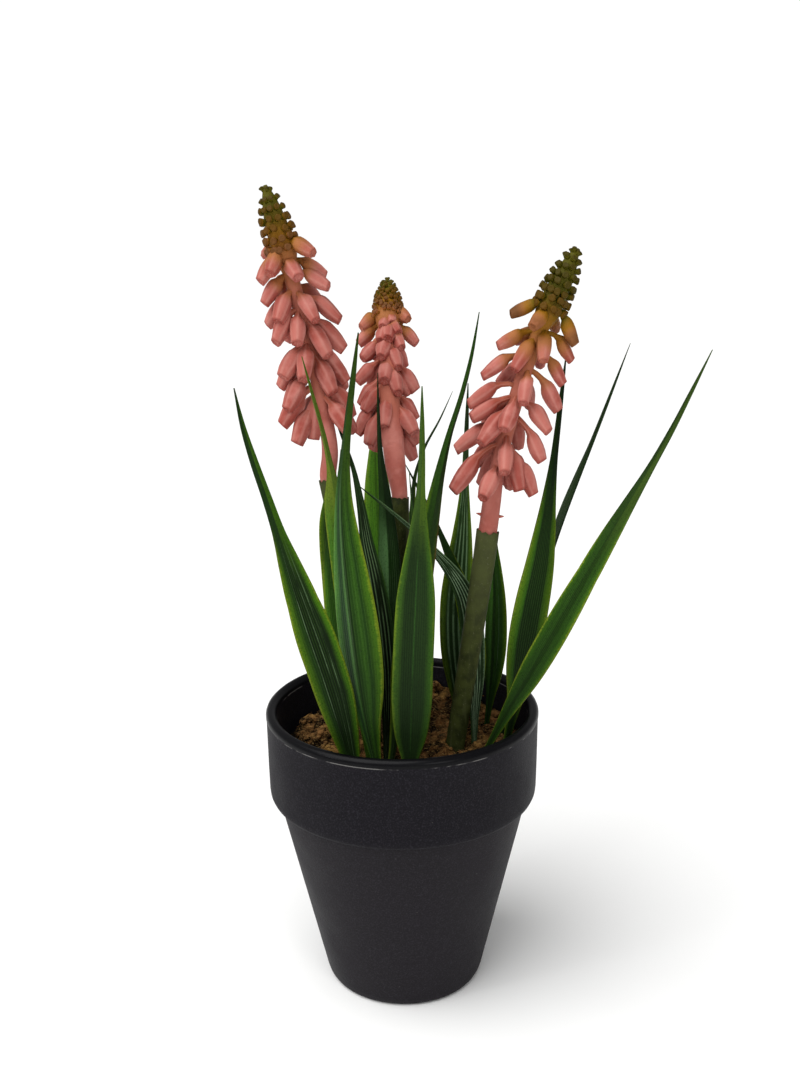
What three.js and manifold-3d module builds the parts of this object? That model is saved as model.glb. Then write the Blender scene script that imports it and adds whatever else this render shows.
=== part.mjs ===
// A pot of grape hyacinths: three flower spikes on bare stems and nineteen strap leaves,
// planted in the soil of a tapered plastic pot with a deep collar.
// Millimetres, +Z up. The origin is the centre of the pot's flat underside, and -Y is the front.

import * as THREE from "three";
import { mergeVertices } from "three/addons/utils/BufferGeometryUtils.js";
import Module from "manifold-3d";

const wasm = await Module();
wasm.setup();
const { clamp, degToRad, lerp, smoothstep } = THREE.MathUtils;

// Driving dimensions.
const POT_HEIGHT = 91.8;
const POT_SIDES = 40;
const FOOT_RADIUS = 24.8; // where the wall would meet the floor without its fillet
const FOOT_FILLET = 2.5;
const WALL_TOP_RADIUS = 39.6;
const COLLAR_BOTTOM = 63.4;
const COLLAR_ROUND = 2.6;
const COLLAR_RADIUS = 42.1;
const RIM_RADIUS = 42.5;
const LIP_THICKNESS = 3.3;
const WALL = 2.2;
const FLOOR = 3.0;

const FIT = 0.3; // clearance between pieces that touch
const SOIL_LEVEL = 81;
const SOIL_RINGS = 4;
const SOIL_LUMPS = 1.1; // how far the surface rises and falls
const SOIL_BANK = 3.5; // how much higher it lies at the back
const PLANTED_DEPTH = 10; // how far stems and leaves reach into the soil

const STEM_SIDES = 10;
const STEM_STATIONS = 6;
const PEG_RADIUS = 2.0;
const PEG_LENGTH = 7; // the flower spike's peg in the hollow top of its stem
const PEG_ROOT = 3; // how far the peg runs on inside the spike's neck

const SPIKE_SIDES = 7;
const SPIKE_STATIONS = 30;
const NECK_RADIUS = 3.0;
const NECK_TAPER = 5; // how far below and above the neck's end it narrows to the axis
const AXIS_RADIUS = 2.0;
const FLORETS = 36;
const FLORET_SIDES = 5;
const FLORET_LENGTHS = [17, 11]; // lowest and highest, from the joint to the mouth
const FLORET_RADII = [3.2, 2.6];
const FLORET_DROOPS = [40, 12]; // degrees below square to the axis
const GOLDEN_TURN = Math.PI * (3 - Math.sqrt(5));
const BUD_ROWS = 5;
const BUD_CONE_LENGTH = 20;
const BUD_CONE_RADIUS = 7;
const BUD_TIP_RADIUS = 1.2;
const BUD_RIPPLE = 0.19; // how deep the rows of buds are, as a share of the cone's radius

const LEAF_THICKNESS = 1.0;
const LEAF_SIDES = 6;
const LEAF_STATIONS = 12;
const BLADE_ENDS = [0.22, 0.03]; // the foot and the tip, as shares of the full width
const BLADE_OPENS = [0, 0.26]; // where the blade widens from its foot, as shares of its height
const BLADE_CLOSES = [0.32, 0.78]; // where it narrows to the awl-like point

const MERGE_DISTANCE = 1e-4;

// Stems: the radii at the foot and at the top, and the centre line from the soil's surface up.
const STEMS = {
  left: { radii: [2.9, 3.2], route: [[-9.6, -2.4, 82], [-17, 2, 138], [-21.4, 4, 163.2]] },
  middle: { radii: [2.8, 2.9], route: [[0.2, 12, 82], [-0.1, 6.5, 137], [-0.1, 9, 155.9]] },
  right: { radii: [2.9, 3.5], route: [[16.4, -8.3, 82], [24, -1, 128.8], [26.5, 0, 147.5]] },
};

// Flower spikes: the bare neck's length, the size of the florets and buds, and the axis up to the
// tip. It starts on top of the stem.
const SPIKES = {
  left: { neck: 20, size: 1, axis: [[-21.2, 4.5, 176], [-27.2, 6.5, 207], [-37.8, 8, 248.5]] },
  middle: { neck: 23, size: 0.9, axis: [[-1.8, 16, 170], [-3.1, 30, 192], [-3.3, 60, 219]] },
  right: { neck: 20, size: 1, axis: [[29.9, 0.5, 170], [39.5, 2.5, 202], [51.8, 4, 230]] },
};

// Leaves: the full width, the bearing in degrees that the upper side looks in at the foot and at
// the tip (-90 is the front), how far the edges fold up, the midrib from the soil to the tip and,
// on some, where the blade opens and closes.
const LEAVES = {
  far_left: {
    width: 11.5,
    facing: [-78, -60],
    fold: 0.8,
    opens: [-0.1, 0.24],
    closes: [0.34, 0.7],
    route: [
      [-14.6, -26, 82], [-19.5, -24.5, 104], [-30.6, -26, 142], [-37, -26, 164],
      [-42.5, -25, 182], [-45, -24, 194.5],
    ],
  },
  left_slim: {
    width: 8.5,
    facing: [-115, -125],
    fold: 1,
    closes: [0.6, 0.77],
    route: [[-10, -19, 82], [-14.5, -14, 124], [-18.3, -15, 161], [-20.6, -16, 177], [-26.8, -16, 202]],
  },
  front_left: {
    width: 13.5,
    facing: [-112, -118],
    fold: -3.2,
    route: [
      [-7.5, -27, 82], [-11, -25, 102], [-15, -23, 139], [-16.3, -20.5, 162], [-15, -19, 179],
      [-11, -17, 208.5],
    ],
  },
  left_inner: {
    width: 8.5,
    facing: [-95, -100],
    fold: 0.6,
    closes: [0.55, 0.95],
    route: [[-14, -12, 82], [-16.6, -8, 103], [-18.7, -7, 128], [-19, -7, 146.5], [-17, -7, 174]],
  },
  back_left: {
    width: 9,
    facing: [-110, -105],
    fold: 0.6,
    closes: [0.75, 1],
    route: [[-17, -5, 82], [-17.5, -5.2, 103], [-18.6, -5, 122], [-19.9, -3.4, 146], [-20.8, -2.8, 168]],
  },
  ribbed_left: {
    width: 6.6,
    facing: [110, 100],
    fold: 0.5,
    route: [
      [-5, -19, 81], [-4.2, -14, 100], [-5.2, -12, 118], [-7.5, -10, 135], [-10.5, -5, 149],
      [-12.8, 0, 163], [-20, 20, 180], [-22.5, 24, 188],
    ],
  },
  centre_slim: {
    width: 7.5,
    facing: [-95, -90],
    fold: -1.6,
    closes: [0.4, 0.86],
    route: [[-2.6, -10, 82], [-3.2, -6, 115], [-3.8, -5, 149], [-5.8, -6, 176.5], [-6, -6, 196]],
  },
  back_centre: {
    width: 9.5,
    facing: [-90, -85],
    fold: 0.6,
    closes: [0.62, 1],
    route: [[-5.3, 15, 82], [-5.2, 19, 113], [-6.4, 25, 138], [-7.4, 33, 153], [-8.6, 52, 176]],
  },
  front_centre: {
    width: 11.7,
    facing: [-88, -92],
    fold: 0.7,
    opens: [-0.04, 0.16],
    closes: [0.4, 0.78],
    route: [[2, -27, 82], [3.3, -24, 115], [5, -22, 147.5], [6.3, -19, 173], [6.5, -17, 193.5]],
  },
  centre_right: {
    width: 9,
    facing: [-80, -60],
    fold: -1.4,
    route: [
      [-3.5, -22.5, 82], [-0.6, -16, 99], [7.5, -11, 144], [13.4, -7, 173.5], [19.8, -7, 195.5],
      [23, -7, 213],
    ],
  },
  back_slim: {
    width: 5,
    facing: [-110, -130],
    fold: 0.4,
    route: [[5, 14, 82], [4, 15, 122], [4, 20, 148], [6, 23, 164], [11.5, 24, 174.5], [17, 26, 186]],
  },
  back_upright: {
    width: 5,
    facing: [-50, -60],
    fold: 0.4,
    route: [[4.5, 6, 82], [5, 2, 118], [4.4, 0, 143], [2.8, 1, 166]],
  },
  cross_back: {
    width: 7.5,
    facing: [-70, -110],
    fold: 0.8,
    route: [
      [23, 2, 82], [23.3, 8, 94], [22.6, 9, 109], [20.3, 10, 122], [10.6, 12.5, 148],
      [1.8, 20, 164],
    ],
  },
  cross_front: {
    width: 7.5,
    facing: [110, 60],
    fold: 1.2,
    route: [
      [22.5, -5.5, 82], [23, 1, 95.5], [22.4, 3, 108], [21, 4, 121.5], [16.5, 2, 132],
      [9, -4, 143], [2, -8, 151], [-12, -11, 164],
    ],
  },
  back_right: {
    width: 10.5,
    facing: [-90, -95],
    fold: 0.8,
    opens: [-0.1, 0.22],
    route: [[19.6, 15, 82], [18, 16, 103], [17.7, 17, 116.5], [20, 19, 146], [21.6, 22, 189]],
  },
  right_inner: {
    width: 7,
    facing: [-110, -100],
    fold: 0.8,
    route: [[27.5, 9, 82], [29.9, 11, 100.5], [30.4, 12.5, 123], [28.8, 15, 147], [28.3, 20, 171]],
  },
  right_tall: {
    width: 11,
    facing: [-80, -90],
    fold: 0.8,
    route: [
      [32.5, -5.5, 82], [35, -2.5, 93], [39.2, 1, 118], [43, 5, 136.5], [47, 10, 165],
      [51.2, 17, 198],
    ],
  },
  far_right: {
    width: 8.8,
    facing: [-130, -150],
    fold: 0.9,
    route: [
      [26, -13, 82], [30.3, -13, 90.5], [43, -13, 113.5], [60, -18, 149], [75.8, -20, 180],
      [85.7, -22, 203.3],
    ],
  },
  right_slim: {
    width: 7,
    facing: [190, 200],
    fold: 0.4,
    route: [
      [33, 5, 82], [37.2, 9, 95.4], [41.5, 13, 111], [50, 20, 141], [63.5, 27, 174],
      [73.8, 33, 199.7],
    ],
  },
};

const PLASTIC = { metalness: 0, roughness: 0.55 };
const BLACK = new THREE.MeshStandardMaterial({ ...PLASTIC, color: "#26262a" });
const SOIL = new THREE.MeshStandardMaterial({ color: "#7a5634", metalness: 0, roughness: 1 });
const GREEN = new THREE.MeshStandardMaterial({ ...PLASTIC, color: "#2f6b1e" });
const OLIVE = new THREE.MeshStandardMaterial({ ...PLASTIC, color: "#4d5a30" });
const PINK = new THREE.MeshStandardMaterial({ ...PLASTIC, color: "#d9817a" });

const FRONT = new THREE.Vector3(0, -1, 0);
const point = ([x, y, z]) => new THREE.Vector3(x, y, z);
const between = ([low, high], share) => lerp(low, high, share);
const round = (radius) => ({ width: radius, thickness: radius, fold: 0, face: FRONT });

function solidOf(geometry) {
  const bare = new THREE.BufferGeometry();
  bare.setAttribute("position", geometry.getAttribute("position"));
  bare.setIndex(geometry.getIndex());
  const merged = mergeVertices(bare, MERGE_DISTANCE);
  return new wasm.Manifold(
    new wasm.Mesh({
      numProp: 3,
      vertProperties: merged.getAttribute("position").array,
      triVerts: new Uint32Array(merged.getIndex().array),
    }),
  );
}

function meshOf(name, solid, material) {
  const { vertProperties, triVerts } = solid.getMesh();
  const geometry = new THREE.BufferGeometry();
  geometry.setAttribute("position", new THREE.BufferAttribute(vertProperties, 3));
  geometry.setIndex(new THREE.BufferAttribute(triVerts, 1));
  geometry.computeVertexNormals();
  const mesh = new THREE.Mesh(geometry, material);
  mesh.name = name;
  return mesh;
}

// A bar along a curve between two shares of its length. shape(t) is the section there: half the
// width, half the thickness, how far the edges fold up, and the direction that its face looks in.
function sweep(curve, sides, stations, shape, from = 0, to = 1) {
  const bar = new THREE.CylinderGeometry(1, 1, 1, sides, stations);
  const place = bar.getAttribute("position");
  for (let i = 0; i < place.count; i++) {
    const t = clamp(lerp(from, to, place.getY(i) + 0.5), 0, 1);
    const { width, thickness, fold, face } = shape(t);
    const along = curve.getTangentAt(t);
    const side = new THREE.Vector3().crossVectors(along, face).normalize();
    const up = new THREE.Vector3().crossVectors(side, along);
    const at = curve.getPointAt(t);
    at.addScaledVector(side, place.getX(i) * width);
    at.addScaledVector(up, place.getZ(i) * thickness + Math.abs(place.getX(i)) * fold);
    place.setXYZ(i, at.x, at.y, at.z);
  }
  return solidOf(bar);
}

// The route from the soil's surface up, with its planted end added below.
function plantedCurve(route) {
  const [root, next] = route.map(point);
  const down = new THREE.Vector3().subVectors(root, next).setLength(PLANTED_DEPTH);
  return new THREE.CatmullRomCurve3([root.clone().add(down), ...route.map(point)]);
}

// A planted piece stands FIT above the bottom of its socket, which is FIT wider all round.
function plant(curve, sides, stations, shape) {
  const length = curve.getLength();
  const grown = (t) => {
    const section = shape(t);
    return { ...section, width: section.width + FIT, thickness: section.thickness + FIT };
  };
  return {
    solid: sweep(curve, sides, stations, shape, FIT / length, 1),
    socket: sweep(curve, sides, 3, grown, 0, (2 * PLANTED_DEPTH) / length),
  };
}

// Pot: one moulded shell, with a half-round lip and a collar rounded off at its lower edge.
function potProfile() {
  const lip = LIP_THICKNESS / 2;
  const outline = new THREE.Path();
  outline.moveTo(0, 0);
  outline.lineTo(FOOT_RADIUS - FOOT_FILLET, 0);
  outline.quadraticCurveTo(FOOT_RADIUS, 0, FOOT_RADIUS + FOOT_FILLET / 4, FOOT_FILLET);
  outline.lineTo(WALL_TOP_RADIUS, COLLAR_BOTTOM);
  outline.quadraticCurveTo(
    COLLAR_RADIUS, COLLAR_BOTTOM, COLLAR_RADIUS, COLLAR_BOTTOM + COLLAR_ROUND,
  );
  outline.lineTo(RIM_RADIUS, POT_HEIGHT - lip);
  outline.absarc(RIM_RADIUS - lip, POT_HEIGHT - lip, lip, 0, Math.PI, false);
  outline.lineTo(WALL_TOP_RADIUS - WALL, COLLAR_BOTTOM);
  outline.lineTo(FOOT_RADIUS - WALL, FLOOR);
  outline.lineTo(0, FLOOR);
  return outline.getPoints(3);
}

function makePot() {
  const shell = new THREE.LatheGeometry(potProfile(), POT_SIDES).rotateX(Math.PI / 2);
  return meshOf("pot", solidOf(shell), BLACK);
}

function potInnerRadius(z) {
  if (z < COLLAR_BOTTOM) {
    const share = (z - FLOOR) / (COLLAR_BOTTOM - FLOOR);
    return lerp(FOOT_RADIUS - WALL, WALL_TOP_RADIUS - WALL, share);
  }
  const share = (z - COLLAR_BOTTOM) / (POT_HEIGHT - LIP_THICKNESS / 2 - COLLAR_BOTTOM);
  return lerp(WALL_TOP_RADIUS - WALL, RIM_RADIUS - LIP_THICKNESS, share);
}

// Soil: a plug that fills the pot, lumpy on top and banked up at the back, with the sockets.
function soilSurface(x, y) {
  const lumps = SOIL_LUMPS * Math.sin(0.31 * x + 1.2) * Math.cos(0.27 * y - 0.4);
  return SOIL_LEVEL + lumps + SOIL_BANK * smoothstep(y, 8, 34);
}

function makeSoil(sockets) {
  const underside = FLOOR + FIT;
  const outline = [new THREE.Vector2(0, underside)];
  outline.push(new THREE.Vector2(potInnerRadius(underside) - FIT, underside));
  outline.push(new THREE.Vector2(potInnerRadius(COLLAR_BOTTOM) - FIT, COLLAR_BOTTOM));
  for (let ring = SOIL_RINGS; ring >= 0; ring--) {
    const share = ring / SOIL_RINGS;
    outline.push(new THREE.Vector2(share * (potInnerRadius(SOIL_LEVEL) - FIT), SOIL_LEVEL));
  }
  const plug = new THREE.LatheGeometry(outline, POT_SIDES).rotateX(Math.PI / 2);
  const place = plug.getAttribute("position");
  for (let i = 0; i < place.count; i++) {
    if (place.getZ(i) > COLLAR_BOTTOM + 1) {
      place.setZ(i, soilSurface(place.getX(i), place.getY(i)));
    }
  }
  const cut = sockets.reduce((soil, socket) => soil.subtract(socket), solidOf(plug));
  return meshOf("soil", cut, SOIL);
}

// Stems: hollow at the top, where the flower spike's peg goes in.
function makeStem(name, sockets) {
  const { radii, route } = STEMS[name];
  const curve = plantedCurve(route);
  const shape = (t) => round(between(radii, t));
  const { solid, socket } = plant(curve, STEM_SIDES, STEM_STATIONS, shape);
  sockets.push(socket);
  const top = curve.getPointAt(1);
  const up = curve.getTangentAt(1);
  const mouth = top.clone().addScaledVector(up, 1);
  const bottom = top.clone().addScaledVector(up, -PEG_LENGTH - FIT);
  const bore = new THREE.LineCurve3(bottom, mouth);
  const hollow = solid.subtract(sweep(bore, STEM_SIDES, 1, () => round(PEG_RADIUS + FIT)));
  return { mesh: meshOf(`stem_${name}`, hollow, OLIVE), top, up };
}

// Flower spikes: one moulded piece each. A neck, an axis with drooping bell-shaped florets set
// in a spiral, and a cone of tight buds in rows at the tip.
function axisRadius(height, neck, cone, size) {
  if (height < cone.start) {
    const narrowing = smoothstep(height, neck - NECK_TAPER, neck + NECK_TAPER);
    return lerp(NECK_RADIUS, AXIS_RADIUS, narrowing);
  }
  const share = (height - cone.start) / cone.length;
  const ripple = 1 - BUD_RIPPLE + BUD_RIPPLE * Math.cos(2 * Math.PI * BUD_ROWS * share);
  return size * lerp(BUD_CONE_RADIUS, BUD_TIP_RADIUS, share ** 1.4) * ripple;
}

function floretProfile(length, radius) {
  const joint = 0.4 * radius;
  const mouth = 0.58 * radius;
  const widest = 0.45 * length;
  return [[0, 0], [joint, 0], [radius, widest], [mouth, length], [0, length]].map(
    ([r, y]) => new THREE.Vector2(r, y),
  );
}

function makeFloret(curve, t, index, size) {
  const share = index / (FLORETS - 1);
  const along = curve.getTangentAt(t);
  const droop = degToRad(between(FLORET_DROOPS, share));
  const outward = new THREE.Vector3().crossVectors(along, FRONT).normalize();
  outward.applyAxisAngle(along, index * GOLDEN_TURN);
  const axis = outward.multiplyScalar(Math.cos(droop)).addScaledVector(along, -Math.sin(droop));
  const length = size * between(FLORET_LENGTHS, share);
  const radius = size * between(FLORET_RADII, share);
  const bell = new THREE.LatheGeometry(floretProfile(length, radius), FLORET_SIDES);
  bell.applyQuaternion(new THREE.Quaternion().setFromUnitVectors(new THREE.Vector3(0, 1, 0), axis));
  const at = curve.getPointAt(t);
  return solidOf(bell.translate(at.x, at.y, at.z));
}

function makeSpike(name, { top, up }) {
  const { neck, size, axis } = SPIKES[name];
  const foot = top.clone().addScaledVector(up, FIT);
  const start = foot.clone().addScaledVector(up, NECK_RADIUS);
  const curve = new THREE.CatmullRomCurve3([foot, start, ...axis.map(point)]);
  const length = curve.getLength();
  const cone = { start: length - size * BUD_CONE_LENGTH, length: size * BUD_CONE_LENGTH };
  const pegCurve = new THREE.LineCurve3(
    top.clone().addScaledVector(up, -PEG_LENGTH),
    top.clone().addScaledVector(up, PEG_ROOT),
  );
  const section = (t) => round(axisRadius(t * length, neck, cone, size));
  let spike = sweep(curve, SPIKE_SIDES, SPIKE_STATIONS, section);
  spike = spike.add(sweep(pegCurve, SPIKE_SIDES, 1, () => round(PEG_RADIUS)));
  for (let index = 0; index < FLORETS; index++) {
    const height = lerp(neck, cone.start, index / (FLORETS - 1));
    spike = spike.add(makeFloret(curve, height / length, index, size));
  }
  return meshOf(`flower_spike_${name}`, spike, PINK);
}

// Leaves: a six-sided section, thick at the midrib and thin at the edges. The blade opens from a
// narrow foot, closes up again, and goes on as an awl-like point.
function bladeWidth(share, opens, closes) {
  const awl = between(BLADE_ENDS, share ** 6);
  const opening = smoothstep(share, ...opens) * (1 - smoothstep(share, ...closes));
  return lerp(awl, 1, opening);
}

function makeLeaf(name, sockets) {
  const { width, facing, fold, route } = LEAVES[name];
  const { opens = BLADE_OPENS, closes = BLADE_CLOSES } = LEAVES[name];
  const curve = plantedCurve(route);
  const planted = PLANTED_DEPTH / curve.getLength();
  const edge = Math.sin(Math.PI / 3); // where a hexagon of radius 1 has its side corners
  const shape = (t) => {
    const share = Math.max(0, (t - planted) / (1 - planted));
    const opening = bladeWidth(share, opens, closes);
    const halfWidth = (opening * width) / 2;
    const bearing = degToRad(between(facing, t));
    return {
      width: halfWidth / edge,
      thickness: Math.min(LEAF_THICKNESS / 2, halfWidth),
      fold: opening * fold,
      face: new THREE.Vector3(Math.cos(bearing), Math.sin(bearing), 0),
    };
  };
  const { solid, socket } = plant(curve, LEAF_SIDES, LEAF_STATIONS, shape);
  sockets.push(socket);
  return meshOf(`leaf_${name}`, solid, GREEN);
}

const plantInPot = new THREE.Group();
const sockets = [];
for (const name of Object.keys(STEMS)) {
  const stem = makeStem(name, sockets);
  plantInPot.add(stem.mesh, makeSpike(name, stem));
}
for (const name of Object.keys(LEAVES)) {
  plantInPot.add(makeLeaf(name, sockets));
}
plantInPot.add(makePot(), makeSoil(sockets));

export default plantInPot;
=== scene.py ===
import math
import random

import bpy
import numpy as np
from mathutils import Matrix, Vector, noise


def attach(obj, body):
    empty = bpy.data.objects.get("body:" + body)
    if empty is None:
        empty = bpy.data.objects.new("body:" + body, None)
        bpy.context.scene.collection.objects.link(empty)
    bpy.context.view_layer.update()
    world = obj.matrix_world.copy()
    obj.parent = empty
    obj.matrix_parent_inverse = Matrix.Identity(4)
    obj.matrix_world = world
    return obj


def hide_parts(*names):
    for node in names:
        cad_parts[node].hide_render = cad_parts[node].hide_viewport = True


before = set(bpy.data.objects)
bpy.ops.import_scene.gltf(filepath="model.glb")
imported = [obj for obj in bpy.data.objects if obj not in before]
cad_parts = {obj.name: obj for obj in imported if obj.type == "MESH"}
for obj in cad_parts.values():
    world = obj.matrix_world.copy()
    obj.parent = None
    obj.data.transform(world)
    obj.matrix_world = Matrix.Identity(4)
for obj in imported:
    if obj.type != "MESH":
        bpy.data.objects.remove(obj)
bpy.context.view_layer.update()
MM = 0.001

# Camera: level with the flowers' tips, 35 cm in front of the pot's axis and tilted down to it,
# with no depth of field.
CAMERA_PLACE = Vector((-0.00009, -0.351, 0.2385))
CAMERA_DOWN = math.radians(14.66)
CAMERA_ROLL = math.radians(-0.62)
SENSOR_WIDTH = 36.0
LENS_LENGTH = 40.49
NEAREST_SEEN = 0.01
bpy.ops.object.camera_add()
camera = bpy.context.object
camera.name = "camera"
camera.data.sensor_width = SENSOR_WIDTH
camera.data.lens = LENS_LENGTH
camera.data.clip_start = NEAREST_SEEN
camera.matrix_world = (
    Matrix.Translation(CAMERA_PLACE)
    @ Matrix.Rotation(math.radians(90) - CAMERA_DOWN, 4, "X")
    @ Matrix.Rotation(CAMERA_ROLL, 4, "Z")
)
bpy.context.scene.camera = camera


# Studio: a pale table under an even white sky, a wide soft lamp above and to the left, and two
# weak ones at the front right and the left, whose reflections draw the pot's smooth lip.
TABLE_SIZE = 6
SKY_LIGHT = 0.35
SKY_SEEN = 1.02
LAMPS_AIM = Vector((0, 0, 0.12))
LAMPS = {
    # kind, place, size or angle, and power: the first is so far off that it lights all evenly
    "lamp_above": ("SUN", (-0.45, -0.35, 1.15), 1.1, 3.0),
    "lamp_front": ("AREA", (0.5, -0.9, 0.55), 0.4, 2.0),
    "lamp_side": ("AREA", (-0.9, -0.5, 0.5), 0.12, 0.8),
}


class Paint:
    """One material being mixed: its node tree, and its plastic shader."""

    def __init__(self, name, **sockets):
        self.material = bpy.data.materials.new(name)
        self.material.use_nodes = True
        self.tree = self.material.node_tree
        self.shader = self.tree.nodes["Principled BSDF"]
        for socket, value in sockets.items():
            self.shader.inputs[socket.replace("_", " ")].default_value = value

    def node(self, kind, settings=None, inputs=None, output=0):
        """Adds a node: its settings first, then the values or links of its sockets."""
        node = self.tree.nodes.new(kind)
        for setting, value in (settings or {}).items():
            setattr(node, setting, value)
        for socket, value in (inputs or {}).items():
            if isinstance(value, Wire):
                self.tree.links.new(value.socket, node.inputs[socket])
            else:
                node.inputs[socket].default_value = value
        return Wire(self, node.outputs[output])

    def feed(self, socket, wire):
        self.tree.links.new(wire.socket, self.shader.inputs[socket])

    def mix(self, share, first, second):
        """A colour part of the way from the first to the second."""
        settings = {"data_type": "RGBA"}
        return self.node("ShaderNodeMix", settings, {0: share, 6: first, 7: second}, output=2)

    def step(self, value, low, high, to_low=0.0, to_high=1.0):
        """Rises smoothly from to_low to to_high as the value goes from low to high."""
        inputs = {0: value, 1: low, 2: high, 3: to_low, 4: to_high}
        return self.node("ShaderNodeMapRange", {"interpolation_type": "SMOOTHSTEP"}, inputs)

    def place(self):
        """Where a point is on the piece, in metres."""
        return self.node("ShaderNodeTexCoord", output=3)

    def stretched(self, vector, x, y, z):
        settings = {"operation": "MULTIPLY"}
        return self.node("ShaderNodeVectorMath", settings, {0: vector, 1: (x, y, z)})

    def parts(self, vector):
        node = self.node("ShaderNodeSeparateXYZ", inputs={0: vector}).socket.node
        return [Wire(self, output) for output in node.outputs]

    def noise(self, vector, scale, detail=3.0, roughness=0.55):
        inputs = {"Vector": vector, "Scale": scale, "Detail": detail, "Roughness": roughness}
        return self.node("ShaderNodeTexNoise", inputs=inputs)

    def bump(self, height, depth, strength):
        inputs = {"Height": height, "Distance": depth, "Strength": strength}
        self.feed("Normal", self.node("ShaderNodeBump", inputs=inputs))


class Wire:
    """The output of a node, with the arithmetic that adds Math nodes."""

    def __init__(self, paint, socket):
        self.paint = paint
        self.socket = socket

    def maths(self, operation, first, second=0.0):
        inputs = {0: first, 1: second}
        return self.paint.node("ShaderNodeMath", {"operation": operation}, inputs)

    def __add__(self, other):
        return self.maths("ADD", self, other)

    def __sub__(self, other):
        return self.maths("SUBTRACT", self, other)

    def __rsub__(self, other):
        return self.maths("SUBTRACT", other, self)

    def __mul__(self, other):
        return self.maths("MULTIPLY", self, other)

    def __rmul__(self, other):
        return self.maths("MULTIPLY", other, self)

    def __abs__(self):
        return self.maths("ABSOLUTE", self)

    def sine(self):
        return self.maths("SINE", self)


def colour(code):
    """A six-digit screen colour as the linear values that a shader takes."""
    channels = [int(code[i : i + 2], 16) / 255 for i in (0, 2, 4)]
    linear = [c / 12.92 if c <= 0.04045 else ((c + 0.055) / 1.055) ** 2.4 for c in channels]
    return (*linear, 1.0)


def table_paint():
    """Nearly white, and very faintly clouded."""
    paint = Paint("pale_table", Roughness=0.7, Specular_IOR_Level=0.2)
    cloud = paint.noise(paint.place(), 6)
    paint.feed("Base Color", paint.mix(cloud, colour("f8f8f7"), colour("fbfbfa")))
    return paint.material


bpy.ops.object.select_all(action="DESELECT")
bpy.ops.mesh.primitive_plane_add(size=TABLE_SIZE)
table = bpy.context.object
table.name = "table"
table.data.materials.append(table_paint())

sky = bpy.data.worlds.new("sky")
sky.use_nodes = True
background = sky.node_tree.nodes["Background"]
seen = sky.node_tree.nodes.new("ShaderNodeLightPath").outputs["Is Camera Ray"]
shown = sky.node_tree.nodes.new("ShaderNodeMapRange")
shown.inputs["To Min"].default_value = SKY_LIGHT
shown.inputs["To Max"].default_value = SKY_SEEN
sky.node_tree.links.new(seen, shown.inputs["Value"])
sky.node_tree.links.new(shown.outputs["Result"], background.inputs["Strength"])
background.inputs["Color"].default_value = (1, 1, 1, 1)
bpy.context.scene.world = sky
bpy.context.scene.view_settings.view_transform = "Standard"

for name, (kind, place, size, power) in LAMPS.items():
    bpy.ops.object.light_add(type=kind, location=place)
    lamp = bpy.context.object
    lamp.name = name
    if kind == "SUN":
        lamp.data.angle = size
    else:
        lamp.data.shape = "DISK"
        lamp.data.size = size
    lamp.data.energy = power
    aim = LAMPS_AIM - lamp.location
    lamp.rotation_euler = aim.to_track_quat("-Z", "Y").to_euler()


# Pot: one tapered shell of black plastic, injection moulded. A deep collar runs round its upper
# third, and ends in a rounded lip that is smoother from handling.
POT_SIDES = 128
POT_CREASE = math.radians(40)
COLLAR_FOOT = 0.0625
LIP_FOOT = 0.0893
POT_PROFILE = [
    # radius and height in millimetres, from the underside up the outside and down the inside
    (20.5, 1.0), (21.3, 0.1), (22.6, 0.0), (23.8, 0.2), (24.6, 0.8), (25.2, 1.9), (25.6, 3.2),
    (39.35, 62.6), (39.6, 63.4), (40.9, 63.5), (41.6, 63.9), (42.0, 64.8), (42.15, 66.2),
    (42.3, 74.0), (42.45, 89.1), (42.6, 89.6), (42.6, 90.3), (42.35, 91.0), (41.8, 91.5),
    (41.0, 91.8), (40.3, 91.6), (39.7, 91.1), (39.3, 90.3), (39.2, 89.4), (38.9, 88.0),
    (37.4, 63.4), (23.4, 5.0), (22.4, 3.4), (20.5, 3.0),
]


def turned(name, sides, profile):
    """A closed turned solid: a ring at the first radius and height, extruded and scaled on."""
    bpy.ops.object.select_all(action="DESELECT")
    radius, height = profile[0]
    bpy.ops.mesh.primitive_circle_add(vertices=sides, radius=radius, location=(0, 0, height))
    piece = bpy.context.object
    piece.name = name
    bpy.ops.object.transform_apply(location=True)
    bpy.ops.object.mode_set(mode="EDIT")
    for next_radius, next_height in profile[1:]:
        move = {"value": (0, 0, next_height - height)}
        bpy.ops.mesh.extrude_region_move(TRANSFORM_OT_translate=move)
        scale = next_radius / radius
        bpy.ops.transform.resize(value=(scale, scale, 1), center_override=(0, 0, next_height))
        radius, height = next_radius, next_height
    bpy.ops.mesh.select_all(action="SELECT")
    bpy.ops.mesh.fill_holes(sides=0)
    bpy.ops.mesh.normals_make_consistent(inside=False)
    bpy.ops.object.mode_set(mode="OBJECT")
    return piece


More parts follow.
